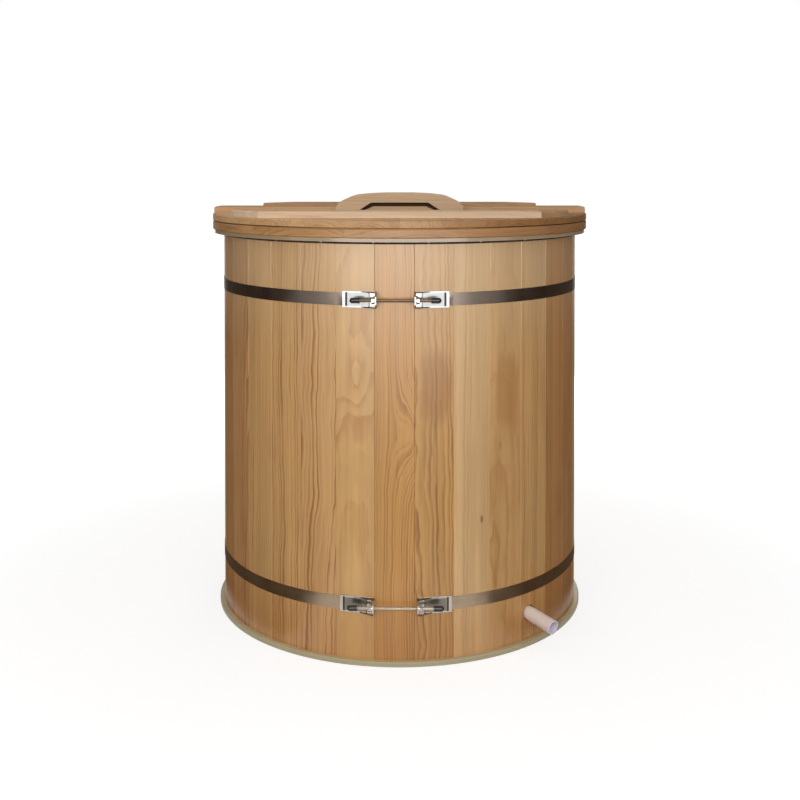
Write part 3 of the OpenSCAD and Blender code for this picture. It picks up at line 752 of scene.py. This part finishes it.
dress(steel("nut_steel", tint=(0.5, 0.48, 0.45, 1), rough=0.2, brushed=0.3, stretch=(500, 500, 500)),
      "upper_nut_left", "upper_nut_right", "lower_nut_left", "lower_nut_right", "rod_washers")


def circle(r, count):
    """Points on a circle of radius r."""
    turns = [2 * math.pi * j / count for j in range(count)]
    return [(r * math.cos(a), r * math.sin(a)) for a in turns]


def tube_faces(first, rows, around):
    """The faces between rows of points that run round a tube. First is the first point's number."""
    faces = []
    for k in range(rows):
        for j in range(around):
            n = (j + 1) % around
            corners = (k * around + j, k * around + n, (k + 1) * around + n, (k + 1) * around + j)
            faces.append(tuple(first + corner for corner in corners))
    return faces


def thread(name, mat):
    """A rod with its screw thread, in place of the CAD node's plain one."""
    low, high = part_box(name)
    half = (high.x - low.x) / 2 - thread_gap
    rows = int(2 * half / thread_pitch * thread_rows)
    points = []
    for k in range(rows + 1):
        x = -half + 2 * half * k / rows
        for j in range(thread_around):
            phase = (k / thread_rows + j / thread_around) % 1.0
            r = thread_r - thread_deep * abs(2 * phase - 1)
            a = 2 * math.pi * j / thread_around
            points.append((x, r * math.cos(a), r * math.sin(a)))
    faces = tube_faces(0, rows, thread_around)
    faces.append(tuple(reversed(range(thread_around))))
    faces.append(tuple(rows * thread_around + j for j in range(thread_around)))
    made = add_mesh(name + "_thread", points, faces)
    made.location = (low + high) / 2
    made.rotation_euler = (0, 0, math.radians(clasp_turn))
    made.data.materials.append(mat)
    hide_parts(name)
    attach(made, "tub")


def islands(mesh):
    """The separate solids of a mesh, each as a list of its points."""
    parent = list(range(len(mesh.vertices)))

    def root(i):
        while parent[i] != i:
            parent[i] = parent[parent[i]]
            i = parent[i]
        return i

    for edge in mesh.edges:
        parent[root(edge.vertices[0])] = root(edge.vertices[1])
    groups = {}
    for vertex in mesh.vertices:
        groups.setdefault(root(vertex.index), []).append(vertex.co)
    return [groups[key] for key in sorted(groups)]


def cross_outline(head_r):
    """The outline of a cross recess, round from its right arm."""
    long = cross_long * head_r
    wide = cross_wide * head_r
    arm = [(long, -wide), (long, wide), (wide, wide)]
    outline = []
    for _ in range(4):
        outline += arm
        arm = [(-y, x) for x, y in arm]
    return outline


def add_screw(points, faces, solid):
    """Adds a countersunk screw with a cross recess where the solid with these points is."""
    low = Vector([min(p[k] for p in solid) for k in range(3)])
    high = Vector([max(p[k] for p in solid) for k in range(3)])
    x = (low.x + high.x) / 2
    y = (low.y + high.y) / 2
    head_r = (high.x - low.x) / 2
    top = [p for p in solid if high.z - p.z < flat_within]
    head_up = max(abs(p.x - x) for p in top) > head_share * head_r
    head_z = high.z if head_up else low.z
    way = -1 if head_up else 1

    first = len(points)
    rows = [(head_r, 0), (head_r, head_rim), (shank_r, head_deep), (shank_r, high.z - low.z)]
    for r, deep in rows:
        points.extend((x + cx, y + cy, head_z + way * deep) for cx, cy in circle(r, screw_around))
    last = len(points) - screw_around
    faces.extend(tube_faces(first, len(rows) - 1, screw_around))
    faces.append(tuple(range(last, len(points))))

    cross = cross_outline(head_r)
    count = len(cross)
    edge = len(points)
    floor = edge + count
    for scale, deep in ((1.0, 0.0), (cross_taper, cross_deep)):
        points.extend((x + cx * scale, y + cy * scale, head_z + way * deep) for cx, cy in cross)
    outlines = (circle(head_r, screw_around), cross)
    rims = [[Vector((cx, cy, 0)) for cx, cy in outline] for outline in outlines]
    numbers = list(range(first, first + screw_around)) + list(range(edge, floor))
    for triangle in tessellate_polygon(rims):
        faces.append(tuple(numbers[k] for k in triangle))
    faces.extend(tube_faces(edge, 1, count))
    faces.append(tuple(range(floor, floor + count)))


def cross_screws(name, body, mat):
    """Screws with cross recesses in place of the CAD node's plain ones."""
    points, faces = [], []
    for solid in islands(nodes[name].data):
        add_screw(points, faces, solid)
    made = add_mesh(name + "_crossed", points, faces)
    made.data.materials.append(mat)
    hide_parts(name)
    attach(made, body)


# The lower rod is painted lighter than the upper, as light and shade
thread("upper_rod", steel("upper_rod_steel", tint=(0.36, 0.28, 0.2, 1), rough=0.34))
thread("lower_rod", steel("lower_rod_steel", tint=(0.6, 0.53, 0.43, 1), rough=0.32))
screw_steel = steel("screw_steel", tint=(0.66, 0.66, 0.66, 1), rough=0.25, brushed=0.3,
                    stretch=(600, 600, 600))
cross_screws("lid_screws", "lid", screw_steel)
cross_screws("rim_screws", "tub", screw_steel)


def plastic(name, tint, rough, spots, coat=0.0, grain=0.00003):
    """Moulded plastic or rubber: a faint cloud of colour, fine speckle and a moulded skin."""
    made, g, shader = material(name, coat=coat, coat_rough=0.06)
    place = g.place()
    cloud = g.noise(place, (9, 9, 9), detail=4.0, rough=0.6)[0]
    speck = g.noise(place, (900, 900, 900))[0]
    skin = g.toned(tint, cloud, 0.25, 0.75, darkest=1 - spots, lightest=1 + spots)
    skin = g.toned(skin, speck, 0.25, 0.75, darkest=0.97, lightest=1.03)
    g.put(shader.inputs["Base Color"], skin)
    g.put(shader.inputs["Roughness"], g.remap(cloud, 0.2, 0.8, rough - 0.05, rough + 0.05))
    g.put(shader.inputs["Normal"], g.bump(speck, distance=grain, strength=0.5))
    return made


dress(plastic("gel_coat", tint=colour(170, 148, 118), rough=0.16, spots=0.05, coat=0.2), "liner")
dress(plastic("base_skin", tint=colour(184, 172, 138), rough=0.48, spots=0.06), "base_plate")
dress(plastic("foam_cells", tint=colour(238, 228, 196), rough=0.85, spots=0.05, grain=0.0004),
      "wall_foam", "floor_foam")
dress(plastic("cap_vinyl", tint=colour(22, 21, 21), rough=0.28, spots=0.15), "rod_caps")
dress(plastic("plug_rubber", tint=colour(52, 52, 54), rough=0.55, spots=0.1), "drain_plug")


def dress_pipe():
    """Pinkish white outside, a cool white at the cut end, and the bore painted that pale as light."""
    made, g, shader = material("pipe_skin")
    place = g.place()
    fall = math.radians(drain_fall)
    axis = (0, -math.cos(fall), -math.sin(fall))
    own = g.vector("SUBTRACT", g.turn(place, math.radians(-drain_turn)), (0, -tub_r, drain_z))
    along = g.vector("DOT_PRODUCT", own, axis)
    off = g.vector("LENGTH", g.vector("CROSS_PRODUCT", own, axis))
    end = g.remap(along, pipe_out - pipe_edge_to, pipe_out - pipe_edge_from)
    bore = g.remap(off, pipe_bore_r + pipe_edge_from, pipe_bore_r + pipe_edge_to, 1.0, 0.0)
    cloud = g.noise(place, (40, 40, 40), detail=4.0, rough=0.6)[0]
    # Painted light: the bore is as pale as the cut end
    skin = g.mix(g.math("MAXIMUM", end, bore), colour(228, 211, 204), colour(240, 232, 250))
    skin = g.toned(skin, cloud, 0.25, 0.75, darkest=0.96, lightest=1.03)
    g.put(shader.inputs["Base Color"], skin)
    g.put(shader.inputs["Roughness"], g.remap(cloud, 0.2, 0.8, 0.26, 0.36))
    speck = g.noise(place, (900, 900, 900))[0]
    g.put(shader.inputs["Normal"], g.bump(speck, distance=0.00003, strength=0.5))
    dress(made, "drain_pipe")


dress_pipe()

# Camera: in front of the clasps, a little above the grip, and almost level. Its shift puts the
# point that it aims at to aim_x_px, aim_y_px from the picture's upper left corner
picture_px = 800
focal_px = 1090.3
aim_x_px = 399.6
aim_y_px = 190.9
camera_back = 2.831
camera_up = 1.095
camera_dip = 0.0209
sensor_mm = 36
camera = add_object("camera", bpy.data.cameras.new("camera"))
camera.location = (0, -camera_back, camera_up)
camera.rotation_euler = (math.radians(90) - camera_dip, 0, 0)
camera.data.sensor_width = sensor_mm
camera.data.lens = focal_px / picture_px * sensor_mm
camera.data.shift_x = (picture_px / 2 - aim_x_px) / picture_px
camera.data.shift_y = (aim_y_px - picture_px / 2) / picture_px
camera.data.clip_end = 60
bpy.context.scene.camera = camera
bpy.context.scene.view_settings.view_transform = "Standard"


def facing(place, aim, axis):
    """The rotation that points the object's axis from place to aim."""
    return (Vector(aim) - Vector(place)).to_track_quat(axis, "Y").to_euler()


def card(name, width, height, place, aim):
    """A flat rectangle at place that faces aim."""
    w = width / 2
    h = height / 2
    made = add_mesh(name, [(-w, -h, 0), (w, -h, 0), (w, h, 0), (-w, h, 0)], [(0, 1, 2, 3)])
    made.location = place
    made.rotation_euler = facing(place, aim, "Z")
    return made


def lamp(name, width, height, place, aim, watts, tint):
    """A rectangular lamp at place that shines at aim."""
    light = bpy.data.lights.new(name, "AREA")
    light.shape = "RECTANGLE"
    light.size = width
    light.size_y = height
    light.energy = watts
    light.color = tint
    made = add_object(name, light)
    made.location = place
    made.rotation_euler = facing(place, aim, "-Z")
    return made


def seen_directly(g):
    """1 for rays that show the background itself: camera, glossy and transmission rays."""
    path = g.node("ShaderNodeLightPath").outputs
    seen = g.math("MAXIMUM", path["Is Camera Ray"], path["Is Glossy Ray"])
    return g.math("MAXIMUM", seen, path["Is Transmission Ray"])


def make_world():
    """White where it is seen directly. It lights the tub softly, and more so from above."""
    world = bpy.data.worlds.new("studio")
    bpy.context.scene.world = world
    g = new_graph(world)
    out = g.node("ShaderNodeOutputWorld")
    back = g.node("ShaderNodeBackground")
    up = g.split(g.node("ShaderNodeTexCoord").outputs["Generated"])[2]
    soft = g.remap(up, -0.2, 0.9, 0.2, 0.56)
    back.inputs["Color"].default_value = (1, 1, 1, 1)
    g.put(back.inputs["Strength"], g.math("MAXIMUM", seen_directly(g), soft))
    g.put(out.inputs["Surface"], back.outputs[0])


def make_floor():
    """White paper that keeps the tub's shadow."""
    floor = card("floor", width=40, height=40, place=(0, 0, -0.0004), aim=(0, 0, 1))
    paper = bpy.data.materials.new("floor_paper")
    g = new_graph(paper)
    out = g.node("ShaderNodeOutputMaterial")
    grey = g.node("ShaderNodeBsdfDiffuse")
    glow = g.node("ShaderNodeEmission")
    both = g.node("ShaderNodeAddShader")
    flat = g.vector("MULTIPLY", g.place(), (1, 1, 0))
    far = g.remap(g.vector("LENGTH", flat), 0.8, 2.5, 0.72, 1.0)
    grey.inputs["Color"].default_value = (0.4, 0.4, 0.4, 1)
    g.put(glow.inputs["Strength"], g.product(far, seen_directly(g)))
    g.put(both.inputs[0], grey.outputs[0])
    g.put(both.inputs[1], glow.outputs[0])
    g.put(out.inputs["Surface"], both.outputs[0])
    floor.data.materials.append(paper)


def finish_flag(flag, tint):
    """Gives a flag its dark cloth. A flag is a card or ring that only shiny surfaces mirror."""
    cloth, g, shader = material(flag.name + "_cloth", rough=0.9, gloss=0.0)
    weave = g.noise(g.place(), (300, 300, 300))[0]
    paler = tuple(v * 1.3 for v in tint[:3]) + (1,)
    g.put(shader.inputs["Base Color"], g.mix(weave, tint, paler))
    flag.data.materials.append(cloth)
    flag.visible_camera = False
    flag.visible_diffuse = False
    flag.visible_shadow = False


def make_floor_flag(inner, outer, opening, window, tint):
    """A dark ring on the floor, from inner to outer.

    Up to opening degrees to each side of the front, it starts at window instead.
    """
    steps = 72
    points = []
    for k in range(steps + 1):
        a = 2 * math.pi * k / steps
        in_front = abs(math.remainder(a, 2 * math.pi)) < math.radians(opening)
        for r in (window if in_front else inner, outer):
            points.append((r * math.sin(a), -r * math.cos(a), 0))
    faces = [(2 * k, 2 * k + 1, 2 * k + 3, 2 * k + 2) for k in range(steps)]
    flag = add_mesh("floor_flag", points, faces)
    flag.location = (0, 0, 0.002)
    finish_flag(flag, tint)


make_world()
make_floor()
brown = (0.17, 0.13, 0.10, 1)
finish_flag(card("flag_left", width=5.2, height=2.6, place=(-2.2, 1.4, 1.0), aim=(0, 1.4, 1.0)), brown)
finish_flag(card("flag_right", width=5.2, height=2.6, place=(2.2, 1.4, 1.0), aim=(0, 1.4, 1.0)), brown)
finish_flag(card("flag_back", width=6.0, height=1.6, place=(0, 3.6, 1.75), aim=(0, 0, 1.75)), brown)
make_floor_flag(inner=0.485, outer=5.5, opening=36, window=1.1, tint=(0.17, 0.12, 0.08, 1))
lamp("key", width=4.0, height=0.6, place=(-0.2, -2.95, 1.3), aim=(0, 0, 0.6), watts=33,
     tint=(1.0, 0.985, 0.96))
lamp("flash", width=0.12, height=0.12, place=(0, -2.8, 1.2), aim=(0, 0, 0.6), watts=7,
     tint=(1.0, 0.99, 0.98))
lamp("back", width=1.8, height=0.6, place=(0.3, 3.0, 0.5), aim=(0, 0, 0.5), watts=30,
     tint=(1.0, 0.99, 0.98))
sheen = lamp("sheen", width=4.5, height=0.5, place=(0, -3.0, 0.6), aim=(0, 0, 0.8), watts=30,
             tint=(1.0, 1.0, 1.0))
sheen.visible_diffuse = False
